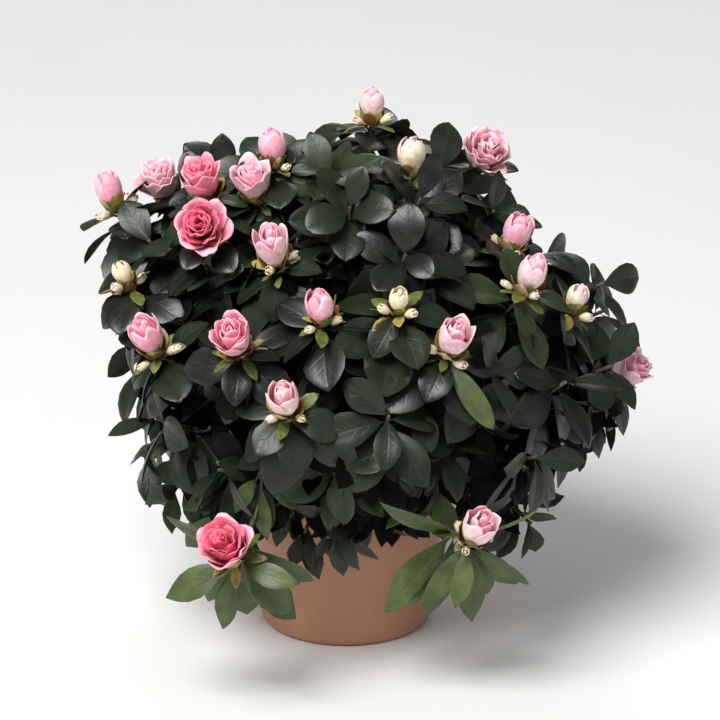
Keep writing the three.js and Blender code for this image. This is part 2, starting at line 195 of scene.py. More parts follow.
def unit(vector):
    vector = np.asarray(vector, float)
    return vector / np.linalg.norm(vector, axis=-1, keepdims=True)


def direction(bearing, lift):
    around, above = math.radians(bearing), math.radians(lift)
    return np.array([
        math.cos(above) * math.cos(around), math.cos(above) * math.sin(around), math.sin(above),
    ])


def measured(points):
    """Fine points along a quadratic Bezier curve, and how far along it each of them is."""
    a, b, c = np.asarray(points, float)
    t = np.linspace(0, 1, 65)[:, None]
    fine = a * (1 - t) ** 2 + 2 * b * t * (1 - t) + c * t ** 2
    return fine, np.concatenate([[0], np.cumsum(np.linalg.norm(np.diff(fine, axis=0), axis=1))])


def along_curve(points, share):
    """Points at shares of a quadratic Bezier curve's length."""
    fine, run = measured(points)
    wanted = np.atleast_1d(share) * run[-1]
    return np.stack([np.interp(wanted, run, fine[:, k]) for k in range(3)], axis=1)


# -------- gathering meshes

SHARP_EDGE = math.radians(100)  # a blade's rim, where its two sides meet
BLADE_PLACES = "blade"  # the UV layer


def put_in_scene(name, data):
    thing = bpy.data.objects.new(name, data)
    bpy.context.scene.collection.objects.link(thing)
    return thing


class Gather:
    """Closed bits of mesh in millimetres, joined at the end into one object of the scene."""

    def __init__(self):
        self.points, self.places, self.quads, self.triangles = [], [], [], []
        self.quad_tints, self.triangle_tints = [], []
        self.count = 0

    def add(self, points, quads, triangles, quad_tints, triangle_tints, places=None):
        """Adds a bit of mesh. places has, for each point, how far along and across a blade it is."""
        self.points.append(points)
        self.places.append(np.zeros((len(points), 2)) if places is None else places)
        self.quads.append(quads + self.count)
        self.triangles.append(triangles + self.count)
        self.quad_tints.append(quad_tints)
        self.triangle_tints.append(triangle_tints)
        self.count += len(points)

    def build(self, name, finishes, slot):
        mesh = bpy.data.meshes.new(name)
        faces = np.concatenate(self.quads).tolist() + np.concatenate(self.triangles).tolist()
        mesh.from_pydata(np.concatenate(self.points) * MM, [], faces)
        tints = np.concatenate(self.quad_tints + self.triangle_tints)
        mesh.polygons.foreach_set("material_index", tints.astype(np.int32))
        mesh.polygons.foreach_set("use_smooth", np.ones(len(faces), bool))
        mesh.set_sharp_from_angle(angle=SHARP_EDGE)
        corners = np.empty(len(mesh.loops), np.int32)
        mesh.loops.foreach_get("vertex_index", corners)
        layer = mesh.uv_layers.new(name=BLADE_PLACES)
        layer.uv.foreach_set("vector", np.concatenate(self.places)[corners].astype(np.float32).ravel())
        for finish in finishes:
            mesh.materials.append(finish)
        mesh.update()
        piece = put_in_scene(name, mesh)
        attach(piece, "root")
        return piece


def ring_faces(rows, ring):
    """The quads between rings of points, facing out where the rings turn to the left of their way."""
    i, k = np.meshgrid(np.arange(rows - 1), np.arange(ring), indexing="ij")
    after = (k + 1) % ring
    quads = [i * ring + k, (i + 1) * ring + k, (i + 1) * ring + after, i * ring + after]
    return np.stack(quads, axis=-1).reshape(-1, 4)


def add_blades(gather, surface, thickness, tints):
    """Adds thin closed blades, given as middle surfaces: an array of blade, row, column and xyz.

    tints is an array of blade, row and side. One row can stand for all, and one side for both.
    """
    count, rows, columns, _ = surface.shape
    normal = np.cross(np.gradient(surface, axis=1), np.gradient(surface, axis=2))
    normal /= np.linalg.norm(normal, axis=-1, keepdims=True) + 1e-9
    half = np.full((columns, 1), thickness / 2)
    half[[0, -1]] = 0
    upper = surface + normal * half
    lower = (surface - normal * half)[:, :, -2:0:-1]
    ring = 2 * columns - 2
    points = np.concatenate([upper, lower], axis=2).reshape(-1, 3)

    sides = ring_faces(rows, ring)
    is_upper = np.tile(np.arange(ring) < columns - 1, rows - 1)
    opposite = [0, *range(2 * columns - 3, columns - 1, -1), columns - 1]
    end_quads, end_triangles = [], []
    for base, flip in ((0, False), ((rows - 1) * ring, True)):
        for j in range(columns - 1):
            corners = [j, j + 1, opposite[j + 1], opposite[j]]
            face = [base + c for n, c in enumerate(corners) if c not in corners[:n]]
            if flip:
                face.reverse()
            (end_quads if len(face) == 4 else end_triangles).append(face)
    quads = np.concatenate([sides, np.array(end_quads, int).reshape(-1, 4)])
    triangles = np.array(end_triangles, int)

    first = (np.arange(count) * rows * ring)[:, None, None]
    all_quads = (quads + first).reshape(-1, 4)
    all_triangles = (triangles + first).reshape(-1, 3)
    tints = np.repeat(np.broadcast_to(tints, (count, rows - 1, 2)), ring, axis=1)
    side_tints = np.where(is_upper, tints[..., 0], tints[..., 1])
    end_tint = side_tints[:, -1:]
    quad_tints = np.concatenate([side_tints, np.repeat(end_tint, len(end_quads), axis=1)], axis=1)
    triangle_tints = np.repeat(end_tint, len(end_triangles), axis=1)
    along, across = np.linspace(0, 1, rows), np.linspace(0, 1, columns)
    across = np.concatenate([across, across[-2:0:-1]])
    places = np.stack(np.meshgrid(along, across, indexing="ij"), axis=-1).reshape(-1, 2)
    places = np.tile(places, (count, 1))
    gather.add(points, all_quads, all_triangles, quad_tints.ravel(), triangle_tints.ravel(), places)


def add_rings(gather, rings, ends, tint):
    """Adds rings of points, an array of ring, place and xyz, closed to a point at each end."""
    rows, count = rings.shape[:2]
    k = np.arange(count)
    after = (k + 1) % count
    last = (rows - 1) * count
    root = np.stack([k, after, np.full(count, rows * count)], axis=1)
    tip = np.stack([last + after, last + k, np.full(count, rows * count + 1)], axis=1)
    quads, triangles = ring_faces(rows, count), np.concatenate([root, tip])
    points = np.concatenate([rings.reshape(-1, 3), ends])
    gather.add(points, quads, triangles, np.full(len(quads), tint), np.full(len(triangles), tint))


def add_tube(gather, centres, radii, sides, tint=0, relief=None):
    """Adds a tapered tube round a line of points, closed at both ends with a shallow point."""
    centres = np.asarray(centres, float)
    tangents = unit(np.gradient(centres, axis=0))
    across = [unit(np.cross(tangents[0], (0.3, 0.9, 0.1)))]
    for tangent in tangents:
        across.append(unit(across[-1] - tangent * (across[-1] @ tangent)))
    across = np.array(across[1:])
    turn = np.linspace(0, 2 * math.pi, sides, endpoint=False)[:, None]
    ray = np.cross(tangents, across)[:, None] * np.sin(turn) - across[:, None] * np.cos(turn)
    radius = np.asarray(radii, float)[:, None] * np.ones(sides)
    if relief is not None:
        radius = radius + relief(np.linspace(0, 1, len(centres))[:, None], turn[:, 0])
    rings = centres[:, None] + ray * radius[:, :, None]
    ends = np.stack([
        centres[0] - tangents[0] * radii[0] * 0.4, centres[-1] + tangents[-1] * radii[-1] * 0.6,
    ])
    add_rings(gather, rings, ends, tint)


# -------- the growth rule

NAMES = list(MASSES)
TOWARD = np.array([direction(bearing, lift) for bearing, lift, _ in MASSES.values()])
REACH = np.array([reach for _, _, reach in MASSES.values()], float)


def reach_toward(toward):
    weights = np.maximum(0, TOWARD @ toward) ** REACH_BLEND
    return float(weights @ REACH / weights.sum() * (1 - HANG * max(0, -toward[2])))


def trimmed(toward):
    """The share of its reach that a leafy shoot keeps: less at the foot, but not over the pot."""
    low = 1 - LOW_TRIM * max(0, -toward[2]) * clamp(1.2 + 1.6 * toward[1], 0, 1)
    return low * (1 - HIGH_TRIM * highness(toward))


def lowness(toward):
    """0 over the upper crown, and up to 1 at its foot."""
    return clamp((0.25 - toward[2]) / 0.6, 0, 1)


def highness(toward):
    """0 over the lower crown, and up to 1 at its top."""
    return clamp((toward[2] - 0.4) / 0.45, 0, 1)


def carrier_of(index):
    """The limb that carries a mass: the trunk for the top one, and a bough for every other."""
    if NAMES[index] == "crown_top":
        return TRUNK_LINE
    foot = SOIL_LEVEL + SOIL_MOUND
    height = (LOW_FORKS if TOWARD[index][2] < 0 else HIGH_FORKS)[index % 2]
    fork = along_curve(TRUNK_LINE, (height - foot) / (TRUNK_LINE[2][2] - foot))[0]
    toward = TOWARD[index]
    return [fork, HUB + toward * BOUGH["arch"], HUB + toward * HEART_RADIUS]


def stem_of(index):
    """A mass's own stem, which grows on from the tip of its limb."""
    _, bend, start = carrier_of(index)
    heading = unit(start - bend)
    end = HUB + TOWARD[index] * STEM_SHARE * REACH[index]
    return [start, start + heading * np.linalg.norm(end - start) / 2, end]


def low_near(toward, bearing, within):
    """Whether a direction is low, and within so many degrees of a bearing."""
    off = math.degrees(math.atan2(toward[1], toward[0])) - bearing
    return toward[2] < OPEN_BELOW_SINE and abs((off + 180) % 360 - 180) < within


def new_shoot(toward, openness, stand, colouring=None, sprig=False, hangs=False):
    return {
        "toward": toward, "open": openness, "stand": stand, "colouring": colouring, "sprig": sprig,
        "hangs": hangs or openness > 0 and toward[2] < LOW_SPRAY_SINE,
    }


def shoot_directions():
    """The shoots of the flowers, then those of a spiral between them, then the sprigs."""
    shoots = [
        new_shoot(direction(bearing, lift), openness, stand, colouring)
        for bearing, lift, openness, stand, colouring in FLOWERS
    ]
    flowering = np.array([shoot["toward"] for shoot in shoots])
    for i in range(SPIRAL_SHOOTS):
        sine = mix(1, SPIRAL_LOWEST_SINE, (i + 0.5) / SPIRAL_SHOOTS)
        toward = direction(math.degrees(i * GOLDEN_ANGLE), math.degrees(math.asin(sine)))
        off_flowers = math.acos(clamp((flowering @ toward).max(), -1, 1))
        if off_flowers < CLEAR_OF_FLOWER or low_near(toward, *OPEN_FLANK):
            continue
        at_back = toward[1] > BACK_FLOWERS_BEHIND and toward[2] < BACK_FLOWERS_BELOW
        flowers = at_back and i % BACK_FLOWER_EVERY == 0
        openness = 0.2 + 0.7 * random_from(i)() if flowers else 0
        colouring = COLOURINGS[i // BACK_FLOWER_EVERY % len(COLOURINGS)]
        shoots.append(new_shoot(toward, openness, 1.0, colouring))
    for number, (bearing, lift, stand) in enumerate(SPRIGS):
        toward, hangs = direction(bearing, lift), number == HANGING_SPRIG
        shoots.append(new_shoot(toward, 0, stand, sprig=True, hangs=hangs))
    return shoots


def plan_shoots():
    """Every main shoot, with its twig and the axis that its leaves stand round, and the stems."""
    shoots = shoot_directions()
    stems = [stem_of(index) for index in range(len(NAMES))]
    for number, shoot in enumerate(shoots):
        draw = random_from(number + 1)
        toward = shoot["toward"]
        mass = int(np.argmax(TOWARD @ toward))
        if shoot["open"] == 0:
            for other in np.delete(TOWARD, mass, axis=0):
                wall = unit(TOWARD[mass] - other)
                toward = toward + wall * max(0, INSET - toward @ wall)
            toward = unit(toward)
        reach = shoot["stand"] * reach_toward(toward) * (1 + UNEVENNESS * (2 * draw() - 1))
        shoot["bare"] = False
        if shoot["open"] == 0 and not shoot["sprig"]:
            reach *= (1 - HOLLOWS * draw() ** 2) * trimmed(toward)
            shoot["bare"] = low_near(toward, *BARE_FRONT)
        axis = unit(toward + UP * clamp(UPTURN[1] + toward[2], *UPTURN))
        if shoot["sprig"]:
            axis = unit(axis + FRONT * SPRIG_TO_FRONT)
        tip = HUB + toward * reach
        if shoot["open"] > 0:
            place_flower(shoot, toward, tip, axis)
            tip = shoot["flower_root"] - shoot["flower_axis"] * 2
        aside = math.acos(clamp(toward @ TOWARD[mass], -1, 1))
        root = along_curve(stems[mass], clamp(1 - aside, 0.25, 0.97))[0]
        shoot.update(toward=toward, axis=axis, draw=draw, twig=[root, tip - axis * LEAD, tip])
    return shoots, stems


def opened_share(openness):
    """How far a flower has come from a bud, 0, to its full width, 1."""
    return clamp((openness - 0.3) / 0.6, 0, 1)


def flower_size(openness):
    """The half width and the height of a flower."""
    return mix(4.5, 16.5, openness ** 1.15), mix(10, 26, min(1, openness / 0.45))


def place_flower(shoot, toward, tip, axis):
    """Turns a bud upward and an open flower in front to the light, about the middle of its height."""
    height = flower_size(shoot["open"])[1]
    opened = opened_share(shoot["open"])
    rise = mix(BUD_RISE, OPEN_RISE + LOW_RISE * max(0, -toward[2]), opened)
    to_light = TO_LIGHT * opened if toward[1] < 0.3 and toward[2] > -0.1 else 0
    shoot["flower_axis"] = unit(toward + UP * rise + FRONT * to_light)
    shoot["flower_root"] = tip + axis * (height / 2 - 2) - shoot["flower_axis"] * height / 2


def leaf_heading(axis, around, spread, droop):
    across = unit(np.cross((1.0, 0.0, 0.0), axis))
    other = np.cross(axis, across)
    heading = (
        axis * math.cos(spread) + across * math.sin(spread) * math.cos(around)
        + other * math.sin(spread) * math.sin(around)
    )
    return unit(heading - UP * droop)


# -------- leaves

class Leaves:
    """Leaves to be made together: where each is rooted, how it lies and what it looks like."""

    def __init__(self):
        self.rows = []

    def add(self, root, heading, upper, length, aspect, bend, tints, roll=0.0, twist=0.0, point=0.62):
        self.rows.append((root, heading, upper, length, aspect, bend, roll, twist, point, *tints))

    def surfaces(self, rows, columns):
        """The middle surface of every leaf: blade, row, column and xyz."""
        root, heading, upper, *numbers = (np.array(values) for values in list(zip(*self.rows))[:9])
        length, aspect, bend, roll, twist, point = (n[:, None, None] for n in numbers)
        side = unit(np.cross(upper, heading))
        top = np.cross(heading, side)
        u = np.interp(np.linspace(0, 1, rows), (0, 0.12, 0.3, 0.75, 1), (0, 0.09, 0.24, 0.84, 1))
        u, v = u[:, None], np.linspace(-1, 1, columns)
        blade = np.clip((u - 0.07) / 0.93, 0, 1)
        width = np.maximum(0.045, np.sin(math.pi * blade ** 1.2) ** point)
        reachout = width * aspect / 2 * length
        bent = bend * u
        x = length * np.sin(bent) / bend
        z = -length * (1 - np.cos(bent)) / bend
        folded = reachout * (0.62 * np.abs(v) - 0.46 * v ** 2)
        turn = roll + twist * u
        y = v * reachout * np.cos(turn) - folded * np.sin(turn)
        lift = folded * np.cos(turn) + v * reachout * np.sin(turn)
        x, z = x + lift * np.sin(bent), z + lift * np.cos(bent)
        x, y, z = (np.broadcast_to(c, (len(root), rows, columns))[..., None] for c in (x, y, z))
        root, heading, side, top = (b[:, None, None] for b in (root, heading, side, top))
        return root + x * heading + y * side + z * top

    def build(self, gather, thickness, rows, columns):
        """Adds the leaves to a gather, without those that would touch the pot."""
        surface = self.surfaces(rows, columns)
        keep = clear_of_pot(surface)
        tints = np.array([r[9:11] for r in self.rows])
        add_blades(gather, surface[keep], thickness, tints[keep, None])


def clear_of_pot(surface):
    """True for each blade of which no point comes near the pot or the soil."""
    radius = np.hypot(surface[..., 0], surface[..., 1])
    inside = radius < POT["rim_radius"] + FOLIAGE_OFF_POT
    low = surface[..., 2] < POT["height"] + FOLIAGE_OFF_POT
    return ~(inside & low).any(axis=(1, 2))


# Tints of the leaves' materials, in the order of LEAF_FINISHES. The first is painted shade: near black
# with little gloss, for leaves deep in the crown, so that its depths read as shadow.
PAINTED_SHADE, DARK, DEEP, MID, OLIVE, UNDER, UNDER_OLIVE = range(7)


def tint_of(shoot, number):
    """The tint of a shoot's leaves: greener toward the crown's foot, and olive in hanging sprays."""
    low = lowness(shoot["toward"])
    draw = random_from(number * 31 + 5)()
    if shoot["hangs"] or shoot["toward"][2] < LOW_SPRAY_SINE and draw < 0.2:
        return OLIVE, UNDER_OLIVE
    if draw < mix(0.1, 0.32, low):
        return MID, UNDER
    return (DEEP if draw < mix(0.5, 0.9, low) else DARK), UNDER


def grow_rosette(leaves, shoot, draw, tints, habit):
    """Whorls of leaves down from a shoot's tip, each turned by the golden angle from the last."""
    size, count, below, along, upper_spread, droop, aspect, point, loose = HABITS[habit]
    axis, lower_spread = shoot["axis"], LOWEST_LEAF_SPREAD
    if habit == "hanging":
        axis = unit(shoot["toward"] + FRONT * SPRAY_TO_FRONT)
        size *= mix(LEFT_SPRAY_SIZE, 1, clamp(0.5 + shoot["toward"][0], 0, 1))
    elif habit != "inner":
        low, high = lowness(shoot["toward"]), highness(shoot["toward"])
        size *= mix(1, LOW_HABIT["size"], low) * mix(1, HIGH_HABIT["size"], high)
        aspect *= mix(1, LOW_HABIT["aspect"], low)
        point *= mix(1, LOW_HABIT["point"], low)
        loose *= mix(1, LOW_HABIT["loose"], low)
        droop *= mix(1, LOW_HABIT["droop"], low) * mix(1, HIGH_HABIT["droop"], high)
        if habit != "under_flower":
            lower_spread *= mix(1, HIGH_HABIT["spread"], high)
            upper_spread *= mix(1, HIGH_HABIT["spread"], high)
    start = 2 * math.pi * draw()
    for k in range(count):
        down = k / (count - 1)
        spread = math.radians(mix(upper_spread, lower_spread, down) + loose * (draw() - 0.5))
        long = size * mix(*LEAF_LENGTH, down ** 0.7) * (1 + 0.24 * (draw() - 0.5))
        back = below + along * (k + 1) * (1 + 0.3 * (draw() - 0.5))
        root = down_twig(shoot, back)
        hang = droop * (0.4 + 1.1 * draw())
        heading = leaf_heading(axis, start + k * GOLDEN_ANGLE, spread, hang)
        leaves.add(
            root, heading, axis, long, aspect * (0.84 + 0.3 * draw()), 0.2 + 0.7 * draw(), tints,
            roll=math.radians(2.2 * loose) * (draw() - 0.5), twist=0.8 * (draw() - 0.5), point=point,
        )


def down_twig(shoot, below):
    """The point on a shoot's twig so many mm below its tip."""
    length = measured(shoot["twig"])[1][-1]
    return along_curve(shoot["twig"], max(0.05, 1 - below / length))[0]


def side_shoots(shoot, draw):
    """Finer shoots that fork from a main one and end a little inside its reach."""
    start = 2 * math.pi * draw()
    for k, root in enumerate(along_curve(shoot["twig"], SIDE_FORKS)):
        around = start + k * 2 * math.pi / len(SIDE_FORKS) + 0.8 * (draw() - 0.5)
        spread = math.radians(38 + 22 * draw())
        heading = leaf_heading(shoot["toward"], around, spread, 0.0)
        tip = root + heading * (26 + 16 * draw())
        toward = unit(tip - HUB)
        most = reach_toward(toward) * (0.78 + 0.12 * draw()) * trimmed(toward)
        if np.linalg.norm(tip - HUB) > most:
            tip = HUB + toward * most
        axis = unit(heading + UP * clamp(UPTURN[1] + heading[2], *UPTURN))
        bend = tip - axis * np.linalg.norm(tip - root) * 0.45
        yield {"twig": [root, bend, tip], "axis": axis, "toward": toward}


# -------- flowers

# Tints run from coral over rose and pink to ivory, in the order of PETAL_FINISHES. A colouring has
# those of the inner petals' heart and margin, and those of the outer petals' foot and margin.
COLOURING_TINTS = {
    "coral": (0, 2, 1, 5), "deep": (0.8, 3, 2, 4.6), "rose": (1.6, 4.4, 3.8, 5.2),
    "pale": (3, 5.6, 7, 5.8), "cream": (4, 6.4, 8, 7), "green": (8, 8, 8, 8),
}
IVORY = 8

# A petal's lean from the flower's axis, in degrees, at shares of its length, in a bud, a half-open
# flower and an open one.
PETAL_SHARES = (0, 0.25, 0.6, 0.85, 1)
STAGES = (0.3, 0.6, 0.9)
OUTER_LEAN = ((58, 26, 2, -20, -34), (62, 36, 14, 12, 48), (72, 50, 30, 34, 82))
INNER_LEAN = ((24, 10, -4, -20, -30), (26, 12, -2, -8, 10), (24, 12, 0, 2, 26))


def petal_lean(openness, inner):
    """The lean at each of the petal shares, for a ring between the outer, 0, and the inner one, 1."""
    outer_lean, inner_lean = (
        np.array([np.interp(openness, STAGES, leans) for leans in zip(*table)])
        for table in (OUTER_LEAN, INNER_LEAN)
    )
    return mix(outer_lean, inner_lean, inner ** 0.8)


def petal_surfaces(rings, draw, rows, columns):
    """Middle surfaces of petals round the Z axis. Each ring is a dict of what its petals share."""
    out = []
    u = np.linspace(0, 1, rows)[:, None]
    v = np.linspace(-1, 1, columns)[None]
    along = np.linspace(0, 1, 41)
    for ring in rings:
        for k in range(ring["count"]):
            length = ring["length"] * (1 + 0.16 * (draw() - 0.5))
            lean = ring["lean"] + ring["loose"] * (draw() - 0.5) * np.array(PETAL_SHARES)
            lean = np.radians(np.interp(along, PETAL_SHARES, lean))
            step = length / (len(along) - 1)
            run = ring["base"] + np.concatenate([[0], np.cumsum(np.sin(lean[1:]) * step)])
            climb = np.concatenate([[0], np.cumsum(np.cos(lean[1:]) * step)])
            phase = 2 * math.pi * draw()
            waves = 1.3 + draw()
            ragged = 0.04 * np.sin(3.4 * v + phase) + 0.015 * np.sin(6 * v + 2 * phase)
            shape = u * (1 - ring["point"] * np.abs(v) ** 1.6 + ragged * u)
            radius, height, slope = (np.interp(shape, along, line) for line in (run, climb, lean))
            swell = 0.25 + 0.75 * np.sin(np.minimum(1, u / 0.65) * math.pi / 2)
            half = ring["width"] * length * swell * (1 - 0.25 * np.maximum(0, (u - 0.7) / 0.3))
            cup = np.maximum(radius, ring["cup"])
            turn = np.clip(v * half / cup, -1.5, 1.5)
            inward = cup * (1 - np.cos(turn))
            inward += ring["ruffle"] * shape ** 2 * np.sin(waves * math.pi * v + phase)
            x = radius - inward * np.cos(slope)
            z = height + inward * np.sin(slope) + ring["rise"]
            y = cup * np.sin(turn)
            around = ring["turn"] + 2 * math.pi * k / ring["count"] + 0.2 * (draw() - 0.5)
            c, s = math.cos(around), math.sin(around)
            out.append(np.stack([c * x - s * y, s * x + c * y, z], axis=-1))
    return np.array(out)


def flower_rings(openness, height, draw):
    """The rings of a double flower, from outside in: a closed spiral that opens to a ruffled rose."""
    opened = opened_share(openness)
    layers = 2 if openness < 0.2 else 3 if openness < 0.5 else 4
    rings = []
    for r in range(layers):
        inner = r / (layers - 1)
        rings.append({
            "count": 5 if openness < 0.5 else 6,
            "lean": petal_lean(openness, inner),
            "loose": mix(8, 44, opened),
            "length": height * mix(1.12, mix(0.9, 0.8, inner), opened),
            "width": mix(0.36, 0.52, opened) * mix(1, 0.9, inner),
            "cup": mix(2.2, 5.0, opened) * mix(1, 0.6, inner),
            "point": mix(0.32, 0.2, opened),
            "ruffle": height * mix(0.014, 0.055, opened),
            "base": height * mix(0.08, 0.09, opened) * (1 - 0.7 * inner),
            "rise": mix(0.2, 2.0, inner) * opened,
            "turn": 2.4 * r + draw(),
        })
    return rings


def fitted(surface, width, height):
    """Petals scaled to a flower's half width and height."""
    widest = np.quantile(np.hypot(surface[..., 0], surface[..., 1]), 0.985)
    return surface * (width / widest, width / widest, height / surface[..., 2].max())


def petal_tints(rings, colouring, rows, draw):
    """The tint of each row of each petal, which shades from heart to margin and differs by petal."""
    heart, margin, foot, outer_margin = COLOURING_TINTS[colouring]
    share = (np.arange(rows) + 0.5) / rows
    tints = []
    for r, ring in enumerate(rings):
        start, end = (foot, outer_margin) if r == 0 else (heart, margin)
        for _ in range(ring["count"]):
            tints.append(mix(start, end, share ** 1.5) + 1.4 * (draw() - 0.5))
    return np.clip(np.round(tints), 0, IVORY).astype(int)[..., None]


def turned_to(points, axis, place):
    """Points round the Z axis, turned so that Z lies along another axis, and put in place."""
    across = unit(np.cross((0.3, 1.0, 0.2), axis))
    return points @ np.stack([across, np.cross(axis, across), axis]) + place


def grow_flower(petals, place, axis, openness, colouring, draw, size, rows=9, columns=9):
    """A flower of a half width and a height, with petals of so many rows and columns of points."""
    width, height = size
    rings = flower_rings(openness, height, draw)
    surface = fitted(petal_surfaces(rings, draw, rows, columns), width, height)
    tints = petal_tints(rings, colouring, rows - 1, draw)
    add_blades(petals, turned_to(surface, axis, place), PETAL_THICKNESS, tints)


# Tints of the small green parts, in the order of BUD_FINISHES.
LIME, AMBER, CREAM, GOLD = range(4)


def grow_bracts(small, shoot, draw):
    """Scales that cup a flower's foot, and young leaves under it."""
    axis, foot = shoot["flower_axis"], shoot["flower_root"]
    height = flower_size(shoot["open"])[1]
    start = 2 * math.pi * draw()
    for k in range(9):
        heading = leaf_heading(axis, start + k * GOLDEN_ANGLE, math.radians(52 + 24 * draw()), 0.0)
        inward = unit(axis - heading * (axis @ heading))
        root = foot - axis * (1.5 + 2.5 * draw()) - inward
        tint = (AMBER, GOLD, LIME, CREAM)[k % 4]
        long = 5 + height * (0.3 + 0.2 * draw())
        small.add(root, heading, inward, long, 0.6, -1.0, (tint, tint))
    for k in range(6):
        spread = math.radians(50 + 40 * draw())
        heading = leaf_heading(axis, start + 1 + k * GOLDEN_ANGLE, spread, 0.15)
        tint = LIME if k % 3 else GOLD
        root = down_twig(shoot, 1 + 3 * draw())
        small.add(root, heading, axis, 11 + 10 * draw(), 0.38, 0.35, (tint, tint),
                  roll=1.2 * (draw() - 0.5), point=0.8)


def grow_small_buds(petals, small, twigs, shoot, draw, count):
    """Little closed buds on short stalks beside a flower, each in a cup of scales."""
    axis, foot = shoot["flower_axis"], shoot["flower_root"]
    start = 2 * math.pi * draw()
    for k in range(count):
        heading = leaf_heading(axis, start + k * 2.1, math.radians(50 + 26 * draw()), -0.1)
        place = foot - axis * 5 + heading * (5 + 3 * draw())
        stalk = [down_twig(shoot, 5), place - heading * 2, place + heading]
        add_tube(twigs, stalk, (0.7, 0.6, 0.6), 5, 1)
        colouring = "cream" if k % 2 else "green"
        size = (2.0 + 0.6 * draw(), 7 + 2.5 * draw())
        grow_flower(petals, place, heading, 0.1, colouring, draw, size, rows=6, columns=4)
        for n in range(3):
            side = leaf_heading(heading, n * 2.1, 0.9, 0.0)
            small.add(place - heading, side, unit(heading - side * (heading @ side)), 3.2, 0.7, -0.9,
                      (AMBER, AMBER))


# -------- finishes

NOISE_RANGE = (0.34, 0.66)  # where nearly all values of a noise lie


def toned(colour, share):
    """A colour, made so many times as light."""
    return (*(min(1.0, channel * share) for channel in colour), 1)


def add_node(nodes, kind, numbers):
    """A new node of a material, with numbers for its sockets."""
    node = nodes.new(f"ShaderNode{kind}")
    for socket, number in numbers.items():
        node.inputs[socket].default_value = number
    return node


def colour_mix(nodes):
    """A new mix of two colours: its sockets for the factor, the two colours and the result."""
    node = nodes.new("ShaderNodeMix")
    node.data_type = "RGBA"
    a, b = (next(s for s in node.inputs if s.name == n and s.type == "RGBA") for n in "AB")
    return node.inputs["Factor"], a, b, next(s for s in node.outputs if s.type == "RGBA")


def finish(name, colour, roughness, mottle=0.2, grain=5.0, relief=0.15, fine=1.0, depth=0.15,
           sheen=0.0, specular=0.5):
    """A procedural material: a colour that wanders over patches of grain mm, and a fine relief."""
    material = bpy.data.materials.new(name)
    material.use_nodes = True
    nodes, links = material.node_tree.nodes, material.node_tree.links
    shader = nodes["Principled BSDF"]
    shader.inputs["Sheen Weight"].default_value = sheen
    shader.inputs["Specular IOR Level"].default_value = specular
    place = nodes.new("ShaderNodeTexCoord")

    def noise(size, detail):
        node = add_node(nodes, "TexNoise", {"Scale": 1 / (size * MM), "Detail": detail})
        links.new(place.outputs["Object"], node.inputs["Vector"])
        return node.outputs["Fac"]

    def ranged(value, low, high):
        least, most = NOISE_RANGE
        span = {"From Min": least, "From Max": most, "To Min": low, "To Max": high}
        node = add_node(nodes, "MapRange", span)
        links.new(value, node.inputs["Value"])
        return node.outputs["Result"]

    patches, specks = noise(grain, 4), noise(fine, 3)
    factor, darker, lighter, mixed = colour_mix(nodes)
    darker.default_value = toned(colour, 1 - mottle)
    lighter.default_value = toned(colour, 1 + mottle)
    links.new(ranged(patches, 0, 1), factor)
    links.new(mixed, shader.inputs["Base Color"])
    links.new(ranged(specks, roughness - 0.07, roughness + 0.07), shader.inputs["Roughness"])
    bump = add_node(nodes, "Bump", {"Strength": relief, "Distance": depth * MM})
    links.new(specks, bump.inputs["Height"])
    links.new(bump.outputs["Normal"], shader.inputs["Normal"])
    return material


SIDE_VEINS = 7.0  # how many leave the midrib on each side
VEIN_STRENGTH = 0.3


def leaf_finish(name, colour, roughness, paler, specular=0.4):
    """A leaf's finish, with a midrib and side veins by the place along and across the blade."""
    material = finish(name, colour, roughness, mottle=0.3, grain=9, relief=0.12, fine=0.6, depth=0.05,
                      specular=specular)
    nodes, links = material.node_tree.nodes, material.node_tree.links
    shader, bump = nodes["Principled BSDF"], nodes["Bump"]

    def figure(operation, *values):
        node = nodes.new("ShaderNodeMath")
        node.operation = operation
        for socket, value in zip(node.inputs, values):
            if isinstance(value, float):
                socket.default_value = value
            else:
                links.new(value, socket)
        return node.outputs[0]

    place = nodes.new("ShaderNodeUVMap")
    place.uv_map = BLADE_PLACES
    parts = nodes.new("ShaderNodeSeparateXYZ")
    links.new(place.outputs[0], parts.inputs[0])
    across = figure("ABSOLUTE", figure("MULTIPLY_ADD", parts.outputs[1], 2.0, -1.0))
    midrib = figure("MAXIMUM", figure("MULTIPLY_ADD", across, -8.0, 1.0), 0.0)
    up_leaf = figure("MULTIPLY", parts.outputs[0], SIDE_VEINS)
    run = figure("SUBTRACT", up_leaf, figure("MULTIPLY", across, 1.7))
    ridge = figure("MULTIPLY_ADD", figure("PINGPONG", run, 0.5), -9.0, 1.0)
    side = figure("MULTIPLY", figure("MAXIMUM", ridge, 0.0), figure("SUBTRACT", 0.9, across))
    short_of_tip = figure("MINIMUM", figure("MULTIPLY_ADD", parts.outputs[0], -6.0, 5.4), 1.0)
    side = figure("MULTIPLY", side, figure("MAXIMUM", short_of_tip, 0.0))
    veins = figure("MAXIMUM", midrib, side)

    factor, plain, pale, mixed = colour_mix(nodes)
    links.new(shader.inputs["Base Color"].links[0].from_socket, plain)
    pale.default_value = toned(colour, paler)
    links.new(figure("MULTIPLY", veins, VEIN_STRENGTH), factor)
    links.new(mixed, shader.inputs["Base Color"])
    groove = add_node(nodes, "Bump", {"Strength": VEIN_STRENGTH, "Distance": 0.35 * MM})
    groove.invert = True
    links.new(veins, groove.inputs["Height"])
    links.new(bump.outputs["Normal"], groove.inputs["Normal"])
    links.new(groove.outputs["Normal"], shader.inputs["Normal"])
    return material


